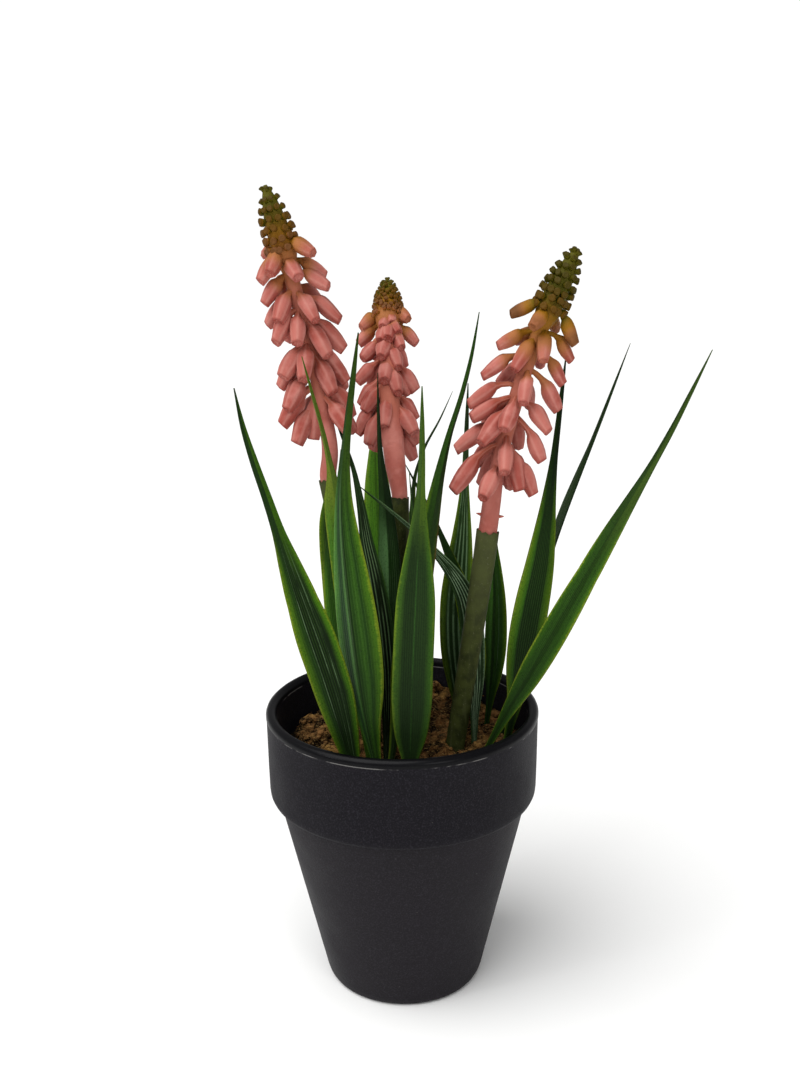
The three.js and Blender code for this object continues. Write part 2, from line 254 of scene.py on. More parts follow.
def pot_paint():
    """Black plastic with a fine grain and specks of dust, a darker collar, a smooth dark lip and a
    broken pale line of flash under it."""
    paint = Paint("pot_black_plastic", Specular_IOR_Level=0.07, Coat_Roughness=0.22)
    spot = paint.place()
    height = paint.parts(spot)[2]
    cloud = paint.noise(spot, 45, detail=5)
    grain = paint.noise(spot, 2300, detail=2)
    dust = paint.step(paint.noise(spot, 900, detail=1), 0.78, 0.82)
    collar = paint.step(height, COLLAR_FOOT, COLLAR_FOOT + 0.002)
    lip = paint.step(height, LIP_FOOT, LIP_FOOT + 0.0004)
    flash = paint.step(height, LIP_FOOT - 0.0003, LIP_FOOT - 0.0001)
    flash = flash * (1 - paint.step(height, LIP_FOOT, LIP_FOOT + 0.0002))
    flash = flash * paint.step(paint.noise(spot, 130, detail=4), 0.45, 0.6)
    black = paint.mix(cloud, colour("161417"), colour("221f23"))
    black = paint.mix(collar * 0.65, black, colour("0b0a10"))
    black = paint.mix(paint.step(grain, 0.45, 0.75) * 0.35, black, colour("3a383f"))
    black = paint.mix(dust * 0.4, black, colour("5c5a56"))
    black = paint.mix(lip * 0.9, black, colour("050507"))
    black = paint.mix(flash * 0.55, black, colour("8d8b88"))
    paint.feed("Base Color", black)
    paint.feed("Roughness", paint.step(cloud, 0.3, 0.7, 0.5, 0.62) - 0.2 * lip)
    paint.feed("Coat Weight", lip * paint.step(cloud, 0.3, 0.6, 0.02, 0.09))
    relief = grain + 0.6 * paint.noise(spot, 700, detail=2)
    paint.bump(relief * (1 - 0.8 * lip), 0.00012, 0.6)
    return paint.material


pot = turned("pot_shell", POT_SIDES, [(r * MM, z * MM) for r, z in POT_PROFILE])
bpy.ops.object.shade_smooth_by_angle(angle=POT_CREASE)
pot.data.materials.append(pot_paint())
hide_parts("pot")
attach(pot, "root")


# Soil: a bed of coir, pressed in around the stems and leaves. It is lumpy, banks up against the
# back of the pot, and dips along the wall, deepest at the left. Lengths are in millimetres.
SOIL_RADIUS = 38.0
SOIL_CELL = 0.5
SOIL_SKIRT = 12
SOIL_LEVEL = 81
SWELL_RISE = 1.1
BANK_FROM, BANK_WIDTH, BANK_RISE = 8, 26, 3.5
DIP_FROM, DIP_WIDTH, DIP_DEPTH = 31, 6, 1.5
DEEPER_LEFT_OF, DEEPER_BEHIND, DEEPER_DEPTH = -8, -22, 4.5
LUMP_RISE, CRUST_RISE, CRUST_SUNK = 1.3, 1.4, 1.2
SOIL_CLODS = [
    # place, reach and height of each
    (-27, 0, 6, 3.2), (-21, -11, 5, 2.4), (-33, 10, 4, 2.0), (12, 20, 8, 2.6), (8, 31, 7, 2.4),
    (20, 27, 6, 2.0), (13, -8, 5, 1.6), (3, -20, 5, 1.8), (21, -17, 5, 1.8),
]


def clamped(share):
    return min(max(share, 0), 1)


def rough(x, y, scale, layer):
    """A soft unevenness from -1 to 1, another one for each layer."""
    return noise.noise(Vector((scale * x, scale * y, layer)))


def soil_height(x, y):
    """Height above the pot's underside."""
    level = SOIL_LEVEL + SWELL_RISE * math.sin(0.31 * x + 1.2) * math.cos(0.27 * y - 0.4)
    bank = clamped((y - BANK_FROM) / BANK_WIDTH)
    level += BANK_RISE * bank * bank * (3 - 2 * bank)
    for clod_x, clod_y, reach, rise in SOIL_CLODS:
        ragged = 1 + 0.5 * rough(x, y, 0.3, clod_x)
        away = math.hypot(x - clod_x, y - clod_y) / (reach * ragged)
        level += rise * max(0, 1 - away**3)
    dip = clamped((math.hypot(x, y) - DIP_FROM) / DIP_WIDTH)
    deeper = x < DEEPER_LEFT_OF and y > DEEPER_BEHIND
    level -= dip * (DEEPER_DEPTH if deeper else DIP_DEPTH)
    lumps = noise.fractal(Vector((0.16 * x, 0.16 * y, 3.1)), 0.9, 2.1, 4)
    crust = abs(rough(x, y, 0.42, 8.7))
    return level + LUMP_RISE * lumps + CRUST_RISE * crust - CRUST_SUNK


def soil_piece():
    """A square grid drawn in to a disc, lifted to the soil's height, with a skirt and a floor."""
    bpy.ops.object.select_all(action="DESELECT")
    cells = int(2 * SOIL_RADIUS / SOIL_CELL)
    size = 2 * SOIL_RADIUS * MM
    bpy.ops.mesh.primitive_grid_add(x_subdivisions=cells, y_subdivisions=cells, size=size)
    soil = bpy.context.object
    soil.name = "soil_bed"
    for vertex in soil.data.vertices:
        x, y = vertex.co.x / MM, vertex.co.y / MM
        ring = max(abs(x), abs(y))
        reach = math.hypot(x, y) or 1.0
        x, y = x * ring / reach, y * ring / reach
        vertex.co = Vector((x, y, soil_height(x, y))) * MM
    bpy.ops.object.mode_set(mode="EDIT")
    bpy.ops.mesh.select_all(action="SELECT")
    bpy.ops.mesh.region_to_loop()
    bpy.ops.mesh.extrude_region_move(TRANSFORM_OT_translate={"value": (0, 0, -SOIL_SKIRT * MM)})
    bpy.ops.transform.resize(value=(0.95, 0.95, 0))
    bpy.ops.mesh.edge_face_add()
    bpy.ops.mesh.select_all(action="SELECT")
    bpy.ops.mesh.normals_make_consistent(inside=False)
    bpy.ops.object.mode_set(mode="OBJECT")
    bpy.ops.object.shade_smooth()
    return soil


def coir_paint(name, pale):
    """Dark peat with pale patches, straw and fibres, with painted shade that makes it darkest in
    the hollows.
    """
    paint = Paint(name, Roughness=0.95, Specular_IOR_Level=0.05)
    spot = paint.place()
    height = paint.parts(spot)[2]
    patches = paint.noise(spot, 160, detail=6, roughness=0.65)
    fibres = paint.noise(paint.stretched(spot, 1.0, 3.2, 1.6), 1100, detail=3)
    brown = paint.mix(paint.step(patches, 0.4, 0.62), colour("120a05"), colour(pale))
    straw = paint.step(paint.noise(spot, 75, detail=1), 0.5, 0.62)
    brown = paint.mix(straw * paint.step(patches, 0.45, 0.6) * 0.45, brown, colour("96763f"))
    brown = paint.mix(paint.step(fibres, 0.5, 0.7) * 0.65, brown, colour("a08250"))
    # painted shade: the low soil along the wall and in the hollows is darkened to near black
    hollow_shade = 1 - paint.step(height, 0.0765, 0.0815)
    brown = paint.mix(hollow_shade * 0.8, brown, colour("0c0805"))
    paint.feed("Base Color", brown)
    paint.bump(fibres + 0.8 * patches, 0.0006, 0.9)
    return paint.material


soil = soil_piece()
soil.data.materials.append(coir_paint("coir_bed", "5c3d1f"))
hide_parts("soil")
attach(soil, "root")


# Crumbs and fibres: loose pieces of the same coir that lie on the soil, a few more of them near
# the wall. Lengths are in millimetres, and angles in radians.
CRUMBS = 420
CRUMB_RADII = [0.8, 1.1, 1.5, 2.1]
CRUMB_FLATNESS = 0.6
CRUMB_TIP = 0.6
CRUMB_LIFT = 0.2
FIBRES = 320
FIBRE_RADIUS = 0.14
FIBRE_LENGTHS = (2.5, 6)
FIBRE_LEANS = (1.0, 1.7)
FIBRE_BEND = 4
FIBRE_LIFT = 0.5
WALL_GAP = 2.5
ALL_ROUND = 6.28
COIR_SEED = 7
draw = random.Random(COIR_SEED)


def scattered(name, master, count, put):
    """Copies of a master piece, each placed by put, joined into one piece."""
    copies = []
    for _ in range(count):
        copy = master.copy()
        copy.data = master.data.copy()
        bpy.context.collection.objects.link(copy)
        copy.data.transform(put())
        copies.append(copy)
    return joined(name, copies)


def joined(name, pieces):
    """The pieces as one, under a new name."""
    bpy.ops.object.select_all(action="DESELECT")
    for piece in pieces:
        piece.select_set(True)
    bpy.context.view_layer.objects.active = pieces[0]
    bpy.ops.object.join()
    pieces[0].name = name
    return pieces[0]


def soil_spot(evenness):
    """A place on the soil: spread evenly at 1, and thicker near the wall below that."""
    turn = draw.uniform(0, 2 * math.pi)
    reach = (SOIL_RADIUS - WALL_GAP) * math.sqrt(draw.uniform(0, 1)) ** evenness
    x, y = reach * math.cos(turn), reach * math.sin(turn)
    return x, y, soil_height(x, y)


def put_crumb():
    x, y, z = soil_spot(0.8)
    size = draw.choice(CRUMB_RADII)
    width = size * draw.uniform(0.6, 1)
    shape = Matrix.Diagonal((size * MM, width * MM, CRUMB_FLATNESS * size * MM, 1))
    turn = Matrix.Rotation(draw.uniform(0, ALL_ROUND), 4, "Z")
    tip = Matrix.Rotation(draw.uniform(-CRUMB_TIP, CRUMB_TIP), 4, "X")
    return Matrix.Translation(Vector((x, y, z + CRUMB_LIFT)) * MM) @ turn @ tip @ shape


def put_fibre():
    x, y, z = soil_spot(0.9)
    length = draw.uniform(*FIBRE_LENGTHS)
    turn = Matrix.Rotation(draw.uniform(0, ALL_ROUND), 4, "Z")
    lean = Matrix.Rotation(draw.uniform(*FIBRE_LEANS), 4, "Y")
    shape = Matrix.Diagonal((FIBRE_RADIUS * MM, FIBRE_RADIUS * MM, length * MM, 1))
    return Matrix.Translation(Vector((x, y, z + FIBRE_LIFT)) * MM) @ turn @ lean @ shape


bpy.ops.object.select_all(action="DESELECT")
bpy.ops.mesh.primitive_ico_sphere_add(subdivisions=2, radius=1)
crumb = bpy.context.object
for vertex in crumb.data.vertices:
    vertex.co *= 1 + 0.45 * noise.noise(vertex.co * 1.7)
crumbs = scattered("soil_crumbs", crumb, CRUMBS, put_crumb)
crumbs.data.materials.append(coir_paint("coir_crumbs", "7a5632"))
bpy.data.objects.remove(crumb)
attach(crumbs, "root")

fibre = turned("fibre", 4, [(0.6, -0.5), (1.0, -0.2), (1.0, 0.2), (0.5, 0.5)])
for vertex in fibre.data.vertices:
    vertex.co.x += FIBRE_BEND * (vertex.co.z**2)
fibres = scattered("soil_fibres", fibre, FIBRES, put_fibre)
fibres.data.materials.append(coir_paint("coir_fibres", "6c4a2a"))
bpy.data.objects.remove(fibre)
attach(fibres, "root")


# Leaves: nineteen strap leaves, each pressed from green plastic with raised veins, lime at the
# edges, and rolled up to an awl towards the tip. Their feet are pushed into the soil.
BLADE_COLUMNS = 20
BLADE_ROWS = 72
BLADE_FULL = 0.85
EDGE_THINNING = 0.5
RIB_NEARNESS = 0.02
RING_POINTS = 6
MERGED_WITHIN = 1e-6
FRONT = np.array([0.0, -1.0, 0.0])
LEAF_SEEDS_APART = 3.7
AWL_FROM = 0.5
FULLER_AWLS = {
    # by which share the middle of the awl is wider than the leaf's own sections
    "leaf_far_left": 0.3, "leaf_far_right": 0.35, "leaf_right_slim": 0.7,
}
NIGHT, DARK, PINE, GRASS, MEADOW = "070f05", "10220b", "1d3512", "406428", "3b6010"
BRIGHT, LIME, OLIVE, RUST, PALE = "447220", "788a20", "4c5415", "66441c", "7c9a70"


def leaf_rings(name):
    """The leaf's sections from the foot up, read from a merged copy of its model. Each has six
    points, two at either edge and two at the midrib, and the model's two ends are single points.
    """
    bpy.ops.object.select_all(action="DESELECT")
    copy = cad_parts[name].copy()
    copy.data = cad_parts[name].data.copy()
    bpy.context.collection.objects.link(copy)
    bpy.context.view_layer.objects.active = copy
    copy.select_set(True)
    bpy.ops.object.mode_set(mode="EDIT")
    bpy.ops.mesh.select_all(action="SELECT")
    bpy.ops.mesh.remove_doubles(threshold=MERGED_WITHIN)
    bpy.ops.object.mode_set(mode="OBJECT")
    points = np.array([vertex.co for vertex in copy.data.vertices])
    beside = [set() for _ in points]
    for edge in copy.data.edges:
        a, b = edge.vertices
        beside[a].add(b)
        beside[b].add(a)
    bpy.data.objects.remove(copy)

    for start in np.argsort(points[:, 2]):
        layers = [{int(start)}]
        known = {int(start)}
        while layers[-1]:
            layers.append(set().union(*(beside[v] for v in layers[-1])) - known)
            known |= layers[-1]
        layers.pop()
        if [len(layer) for layer in layers] == [1] + [RING_POINTS] * (len(layers) - 2) + [1]:
            return [points[sorted(layer)] for layer in layers[1:-1]]
    raise ValueError(f"{name} has no rings")


def leaf_lines(name, turned_away):
    """Left edge, midrib, right edge, upward direction and thickness of each section."""
    rings = leaf_rings(name)
    centres = np.array([ring.mean(axis=0) for ring in rings])
    alongs = np.gradient(centres, axis=0)
    alongs /= np.linalg.norm(alongs, axis=1)[:, None]
    side = np.linalg.svd(rings[1] - centres[1])[2][0]
    front = -FRONT if turned_away else FRONT
    if np.cross(side, alongs[1]) @ front < 0:
        side = -side
    lines = []
    for ring, centre, along in zip(rings, centres, alongs):
        order = ring[np.argsort((ring - centre) @ side)]
        left, midrib, right = (order[i : i + 2].mean(axis=0) for i in (0, 2, 4))
        side = (right - left) / np.linalg.norm(right - left)
        up = np.cross(side, along)
        thick = np.linalg.norm(order[2] - order[3])
        lines.append(np.concatenate([left, midrib, right, up, [thick, 0, 0]]))
    return np.array(lines).reshape(len(lines), 5, 3)


def between(lines, share):
    """The lines at a share of the way along, on a smooth curve through the sections."""
    place = clamped(share) * (len(lines) - 1)
    i = min(int(place), len(lines) - 2)
    t = place - i
    p0, p1 = lines[max(i - 1, 0)], lines[i]
    p2, p3 = lines[i + 1], lines[min(i + 2, len(lines) - 1)]
    curve = 2 * p1 + (p2 - p0) * t + (2 * p0 - 5 * p1 + 4 * p2 - p3) * t * t
    return 0.5 * (curve + (3 * p1 - p0 - 3 * p2 + p3) * t**3)


def blade_master(name, ribs, rib_height):
    """A flat blade 2 wide and 1 long, its face up, with ribs raised along it."""
    bpy.ops.object.select_all(action="DESELECT")
    bpy.ops.mesh.primitive_grid_add(
        x_subdivisions=BLADE_COLUMNS, y_subdivisions=BLADE_ROWS, size=1, location=(0, 0, 0)
    )
    blade = bpy.context.object
    blade.name = name
    bpy.ops.object.mode_set(mode="EDIT")
    bpy.ops.mesh.select_all(action="SELECT")
    bpy.ops.transform.translate(value=(0, 0.5, 0))
    bpy.ops.transform.resize(value=(2, 1, 1), center_override=(0, 0, 0))
    for rib in ribs:
        bpy.ops.object.mode_set(mode="OBJECT")
        for vertex in blade.data.vertices:
            vertex.select = abs(vertex.co.x - rib) < RIB_NEARNESS
        bpy.ops.object.mode_set(mode="EDIT")
        bpy.ops.transform.translate(value=(0, 0, rib_height))
    bpy.ops.object.mode_set(mode="OBJECT")
    solidify = blade.modifiers.new("thickness", "SOLIDIFY")
    solidify.thickness = 1
    solidify.offset = 0
    solidify.material_offset = 1
    solidify.material_offset_rim = 0
    bpy.ops.object.modifier_apply(modifier="thickness")
    return blade


def smoothed(piece):
    for polygon in piece.data.polygons:
        polygon.use_smooth = True


def leaf(name, master, turned_away):
    """A copy of the master blade, laid along the leaf's own sections."""
    blade = master.copy()
    blade.data = master.data.copy()
    bpy.context.collection.objects.link(blade)
    blade.name = name.replace("leaf_", "blade_")
    lines = leaf_lines(name, turned_away)
    fuller = FULLER_AWLS.get(name, 0)
    rows = {}
    for vertex in blade.data.vertices:
        x, y, z = vertex.co
        key = round(y, 5)
        if key not in rows:
            rows[key] = between(lines, key)
        left, midrib, right, up, (thick, _, _) = rows[key]
        edge = right if x > 0 else left
        awl = math.sin(math.pi * clamped((y - AWL_FROM) / (1 - AWL_FROM)))
        spot = midrib + abs(x) * (1 + fuller * awl) * (edge - midrib)
        up = up / np.linalg.norm(up)
        vertex.co = spot + up * z * thick * (BLADE_FULL - EDGE_THINNING * abs(x))
    smoothed(blade)
    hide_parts(name)
    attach(blade, "root")
    return blade


def leaf_paint(name, seed, flesh, bands=(), margins=(MEADOW, MEADOW), edges=(LIME, LIME),
               veins=(), vein=PALE, ribs=(16, 0.25, GRASS), awl=(0.66, PINE, PINE)):
    """Green plastic, painted along the blade, whose left edge is 0 and whose right edge is 1: soft
    bands over its flesh (from, to, tint and strength), fine ribs (count, strength and tint), thin
    broken veins, lighter margins that end in a thin ragged edge, and an awl (where along the blade
    it starts, and its tints). Pairs of tints are for the left and the right half."""
    paint = Paint(name, Specular_IOR_Level=0.07)
    across, along, _ = paint.parts(paint.node("ShaderNodeUVMap", {"uv_map": "UVMap"}))

    def streaks(width, length, detail):
        inputs = {0: across * width, 1: along * length, 2: seed}
        return paint.noise(paint.node("ShaderNodeCombineXYZ", inputs=inputs), 1.0, detail)

    cloud, drawn, ragged = streaks(3, 9, 3), streaks(40, 6, 2), streaks(2, 150, 1)
    grain = paint.noise(paint.place(), 2200, detail=1)
    wander = across + (cloud - 0.5) * 0.08 + (drawn - 0.5) * 0.05
    right_side = paint.step(across, 0.47, 0.53)
    awl_from, *awl_tints = awl
    blade_part = 1 - paint.step(along + (cloud - 0.5) * 0.1, awl_from - 0.1, awl_from + 0.1)

    shade = paint.mix(paint.step(drawn, 0.35, 0.7) * 0.3, colour(flesh), colour(DARK))
    for low, high, tint, share in bands:
        inside = paint.step(wander, low - 0.04, low + 0.04)
        beyond = paint.step(wander, high - 0.04, high + 0.04)
        shade = paint.mix((inside - beyond) * share, shade, colour(tint))
    count, share, tint = ribs
    wave = paint.step(((across * count - 0.25) * (2 * math.pi)).sine(), -0.2, 0.95)
    wave = wave * paint.step(cloud, 0.3, 0.5)
    shade = paint.mix(wave * share, shade, colour(tint))
    relief = drawn * 0.25 + wave * (1.6 * share)
    for place in veins:
        line = 1 - paint.step(abs(across - place), 0.004, 0.018)
        line = line * paint.step(drawn + cloud, 0.85, 1.05)
        shade = paint.mix(line * 0.5, shade, colour(vein))
        relief = relief + line

    out = abs(wander - 0.5) * 2
    margin = paint.mix(right_side, *(colour(tint) for tint in margins))
    shade = paint.mix(paint.step(out, 0.5, 0.85) * 0.9, shade, margin)
    edge = paint.mix(right_side, *(colour(tint) for tint in edges))
    rim = paint.step(out + (ragged - 0.5) * 0.2, 0.84, 0.98)
    shade = paint.mix(rim * 0.75, shade, edge)
    # painted shade: the blade darkens towards its foot, near the soil and under the other leaves
    foot = 1 - paint.step(along, 0.1, 0.5)
    shade = paint.mix(foot * 0.5, shade, colour(NIGHT))
    tip = paint.mix(right_side, *(colour(tint) for tint in awl_tints))
    tip = paint.mix(paint.step(drawn, 0.4, 0.7) * 0.4, tip, colour(DARK))
    shade = paint.mix(blade_part, tip, shade)
    shade = paint.mix(paint.step(grain, 0.5, 0.7) * 0.32, shade, colour(NIGHT))
    paint.feed("Base Color", shade)
    paint.feed("Roughness", paint.step(cloud, 0.3, 0.7, 0.42, 0.56))
    paint.bump(relief + 0.3 * grain, 0.00022, 0.8)
    return paint.material


veined = blade_master("veined_blade", (-0.5, 0.0, 0.5), 0.12)
keeled = blade_master("keeled_blade", (0.0,), 0.28)
ribbed = blade_master("ribbed_blade", (-0.8, -0.4, 0.0, 0.4, 0.8), 0.2)

UNDERSIDE = dict(
    flesh="142209", margins=(PINE, PINE), edges=(OLIVE, OLIVE), ribs=(5, 0.4, "4a6137"))
LEAVES = {
    # master, whether its face looks away from the front at its foot, and the paint of its face
    "far_left": (veined, False, dict(
        flesh="1a350b", bands=((0.32, 0.84, "0c1a06", 0.9),), margins=("46690f", "416c0c"),
        veins=(0.34, 0.54, 0.68), awl=(0.62, PINE, MEADOW))),
    "left_slim": (keeled, False, dict(
        flesh="436e14", bands=((0.55, 0.7, MEADOW, 0.6),), margins=(BRIGHT, BRIGHT),
        edges=(LIME, RUST), awl=(0.66, "6c7c24", "4c6018"))),
    "front_left": (veined, False, dict(
        flesh="213f0f", margins=("3f6d2a", "3f6512"), edges=("5a8a30", LIME), ribs=(16, 0.3, GRASS),
        bands=((0.16, 0.34, "15301a", 0.85), (0.35, 0.42, "48703a", 0.8), (0.44, 0.54, DARK, 0.8),
               (0.62, 0.70, "386018", 0.5), (0.74, 0.88, "16300a", 0.6)),
        awl=(0.68, "234013", "304a11"))),
    "left_inner": (veined, False, dict(
        flesh="2b5010", bands=((0.42, 0.6, DARK, 0.8), (0.66, 0.76, DARK, 0.5)),
        margins=("4c7a20", MEADOW))),
    "back_left": (veined, False, dict(
        flesh="1c3009", bands=((0.3, 0.6, DARK, 0.7),), margins=("3f5c0d", OLIVE),
        awl=(0.9, MEADOW, OLIVE))),
    "ribbed_left": (ribbed, True, dict(
        flesh="101c08", ribs=(6, 0.75, "6e8c60"), margins=(PINE, PINE), edges=(GRASS, DARK))),
    "centre_slim": (keeled, False, dict(
        flesh="1d3a11", bands=((-0.2, 0.47, "5f8a52", 0.9),), margins=("5a844c", PINE),
        edges=(GRASS, DARK), ribs=(12, 0.15, PALE), awl=(0.62, "172c0d", DARK))),
    "back_centre": (veined, False, dict(
        flesh="467818", bands=((0.42, 0.52, "264409", 0.7),), margins=("5c8a24", MEADOW),
        awl=(0.95, MEADOW, MEADOW))),
    "front_centre": (keeled, False, dict(
        flesh="1b2e12", bands=((0.12, 0.46, "15260e", 0.7),), margins=("38581a", "305216"),
        edges=("627a1e", "4c6614"), ribs=(18, 0.12, GRASS), veins=(0.5,), vein="3c6a2c",
        awl=(0.68, "3c5620", "46601a"))),
    "centre_right": (keeled, False, dict(
        flesh="1c320b", margins=("5a7a16", "304210"), edges=(LIME, RUST),
        awl=(0.6, "26440f", "172e0b"))),
    "back_slim": (keeled, False, dict(flesh="244014", awl=(0.7, "40572f", "2b451f"))),
    "back_upright": (keeled, False, dict(flesh="284716", awl=(0.8, GRASS, PINE))),
    "cross_back": (veined, False, dict(flesh="1b3410", margins=("4a6a18", "24400e"))),
    "cross_front": (ribbed, True, dict(
        flesh="263c1e", ribs=(7, 0.9, "9cba92"), margins=(PINE, PINE), edges=(PALE, GRASS),
        awl=(0.9, GRASS, PINE))),
    "back_right": (ribbed, False, dict(
        flesh="243e1a", ribs=(6, 0.8, "76966c"), margins=("547210", "507014"),
        awl=(0.8, PINE, PINE))),
    "right_inner": (veined, False, dict(
        flesh="244412", bands=((0.0, 0.3, "3f6a26", 0.8), (0.34, 0.46, NIGHT, 0.6)),
        margins=("2c4a12", "44660e"), edges=(GRASS, LIME), veins=(0.62,), vein="5c7a5c")),
    "right_tall": (veined, False, dict(
        flesh="112407", bands=((-0.2, 0.26, "386414", 0.7), (0.78, 1.2, "2e4e0d", 0.6)),
        margins=("4c6e10", "3e5c0c"), edges=("76862a", "66781e"),
        awl=(0.66, PINE, DARK))),
    "far_right": (keeled, False, dict(
        flesh="264512", bands=((0.4, 0.6, "152a08", 0.8),), margins=("335812", "3c6218"),
        edges=("8a9c2c", LIME), awl=(0.6, "284016", "3a521b"))),
    "right_slim": (keeled, False, dict(
        flesh="1c3411", margins=(PINE, PINE), edges=(GRASS, DARK), veins=(0.5,), vein="4e6a3c",
        awl=(0.7, "1c3210", "182c0c"))),
}
for index, (name, (master, turned_away, topside)) in enumerate(LEAVES.items()):
    blade = leaf("leaf_" + name, master, turned_away)
    blade.data.materials.clear()
    for side, paints in (("face", topside), ("back", UNDERSIDE)):
        material = leaf_paint(f"leaf_{side}_{name}", index * LEAF_SEEDS_APART, **paints)
        blade.data.materials.append(material)
for master in (veined, keeled, ribbed):
    bpy.data.objects.remove(master)


# Stems: three bare tubes of olive plastic, pressed into the soil. Each is cut off a little
# raggedly at the top, where the flower's foot goes in.
STEM_WALL = 0.5
STEM_SIDES = 24
STEM_ROWS = 24
STEM_MOUTH, STEM_HOLLOW_FROM = 0.998, 0.95
CUT_ABOVE, CUT_LOWEST, CUT_HIGHEST = 0.99, -0.012, 0.004
ROUTE_KNOTS = 400
ROUTE_POINTS = 200
PLANT_SEED = 3
FLOWERS = {
    # the stem's radii at the foot and the top, how much painted light makes its top paler, and its
    # route from below the soil up, then the route of the flower's axis up to its tip, in
    # millimetres
    "left": dict(
        radii=(2.9, 3.2), painted_top_light=0.3,
        stem=[(-8.5, -3, 74), (-17, 2, 138), (-21.4, 4, 163.2)],
        axis=[(-21.2, 4.5, 176), (-27.2, 6.5, 207), (-37.8, 8, 248.5)],
    ),
    "middle": dict(
        radii=(2.8, 2.9), painted_top_light=0.0,
        stem=[(0.3, 12.7, 74), (-0.1, 6.5, 137), (-0.1, 9, 155.9)],
        axis=[(-1.8, 16, 170), (-3.1, 30, 192), (-3.3, 60, 219)],
    ),
    "right": dict(
        radii=(2.9, 3.5), painted_top_light=0.5,
        stem=[(15.1, -9.5, 74), (24, -1, 128.8), (26.5, 0, 147.5)],
        axis=[(29.9, 0.5, 170), (39.5, 2.5, 202), (51.8, 4, 230)],
    ),
}


def route(points):
    """Evenly spaced points on a smooth curve through the given ones, its directions there, and
    its length."""
    knots = np.array(points, float)
    dense = np.array([between(knots, share) for share in np.linspace(0, 1, ROUTE_KNOTS)])
    steps = np.linalg.norm(np.diff(dense, axis=0), axis=1)
    run = np.concatenate([[0], np.cumsum(steps)])
    even = np.linspace(0, run[-1], ROUTE_POINTS)
    line = np.array([np.interp(even, run, dense[:, axis]) for axis in range(3)]).T
    along = np.gradient(line, axis=0)
    along /= np.linalg.norm(along, axis=1)[:, None]
    return line, along, run[-1]


def at(path, distance):
    """Place, side, front and upward directions at a distance along a route."""
    line, along, length = path
    share = clamped(distance / length) * (len(line) - 1)
    i = min(int(share), len(line) - 2)
    place = line[i] + (share - i) * (line[i + 1] - line[i])
    direction = along[i] + (share - i) * (along[i + 1] - along[i])
    direction /= np.linalg.norm(direction)
    side = np.cross(direction, FRONT)
    side /= np.linalg.norm(side)
    return place, side, np.cross(side, direction), direction


def lay(piece, path):
    """Bends a piece that stands 1 tall, with millimetres across, along the whole of a route."""
    length = path[2]
    for vertex in piece.data.vertices:
        x, y, z = vertex.co
        place, side, front, _ = at(path, z * length)
        vertex.co = Vector(place + x * side - y * front) * MM
    smoothed(piece)


def stem_paint(name, painted_top_light):
    """Olive plastic, drawn lengthwise and dusty, with painted light that makes it paler towards the
    top.
    """
    paint = Paint(name, Specular_IOR_Level=0.07)
    spot = paint.place()
    blotches = paint.noise(spot, 260, detail=5)
    drawn = paint.noise(paint.stretched(spot, 1, 1, 0.12), 700, detail=2)
    dust = paint.step(paint.noise(spot, 1900, detail=2), 0.64, 0.74)
    olive = paint.mix(paint.step(blotches, 0.35, 0.65), colour("1f240c"), colour("343a18"))
    olive = paint.mix(paint.step(drawn, 0.5, 0.8) * 0.4, olive, colour("464b2c"))
    # painted light: the stem is paler towards the top, by a share set per stem; the middle one,
    # which stands in its spike's shadow, gets none as painted shade
    height = paint.step(paint.parts(spot)[2], 0.100, 0.150)
    olive = paint.mix(height * painted_top_light, olive, colour("565b38"))
    olive = paint.mix(dust * 0.35, olive, colour("77765f"))
    paint.feed("Base Color", olive)
    paint.feed("Roughness", paint.step(blotches, 0.3, 0.7, 0.55, 0.72))
    paint.bump(blotches + 0.5 * drawn + 0.3 * dust, 0.0003, 0.7)
    return paint.material


def stem_tube(name, foot_radius, top_radius):
    """A tube 1 tall, hollow at its raggedly cut top."""
    outside = []
    for row in range(STEM_ROWS + 1):
        share = row / STEM_ROWS
        outside.append((foot_radius + (top_radius - foot_radius) * share, share))
    hollow = top_radius - STEM_WALL
    inside = [(hollow, STEM_MOUTH), (hollow, STEM_HOLLOW_FROM)]
    tube = turned(name, STEM_SIDES, outside + inside)
    ragged = {}
    for vertex in tube.data.vertices:
        if vertex.co.z > CUT_ABOVE:
            turn = round(math.atan2(vertex.co.y, vertex.co.x), 1)
            vertex.co.z += ragged.setdefault(turn, draw.uniform(CUT_LOWEST, CUT_HIGHEST))
    return tube


draw = random.Random(PLANT_SEED)
for name, flower in FLOWERS.items():
    stem = stem_tube("stem_tube_" + name, *flower["radii"])
    lay(stem, route(flower["stem"]))
    stem.data.materials.append(stem_paint("stem_olive_" + name, flower["painted_top_light"]))
    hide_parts("stem_" + name)
    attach(stem, "root")


# Flower spikes: one soft pink moulding each, its foot pushed into the stem. Six-sided barrel-shaped
# florets hang around a fleshy axis, and short blunt buds stand out all over the tip.
# Lengths are in millimetres, and angles in degrees.
NECK_SUNK = 2
NECK_STRAIGHT = 1.2
WAIST_RADIUS, WAIST_BELOW_CONE = 2.2, 5
CONE_TAPER = ((0.5, 0.85), (0.2, 0.56))
AXIS_SIDES, AXIS_ROWS, AXIS_FOLDS = 14, 60, 7
FLESH_WITHIN = 12
DENTS = 0.3
FLORET_SIDES, FLORET_FACETS, FACET_RELIEF = 12, 6, 0.07
FLORET_STALK, SHORTEST_STALK = 0.37, 0.15
FLORET_WIDTHS, FLORETS_NARROW, FLORET_ARCHES = (0.92, 1.06), 0.25, (0.08, 0.22)
FLORETS_STRAY = 2
FLORETS_RIPER = 0.24
HIDDEN_FLORETS, HIDDEN_FROM, HIDDEN_SPREAD = 12, 3, 38
BUD_SIDES, BUD_WIDTH, BUD_LENGTH, BUD_GAP = 8, 2.7, 2.9, 0.5
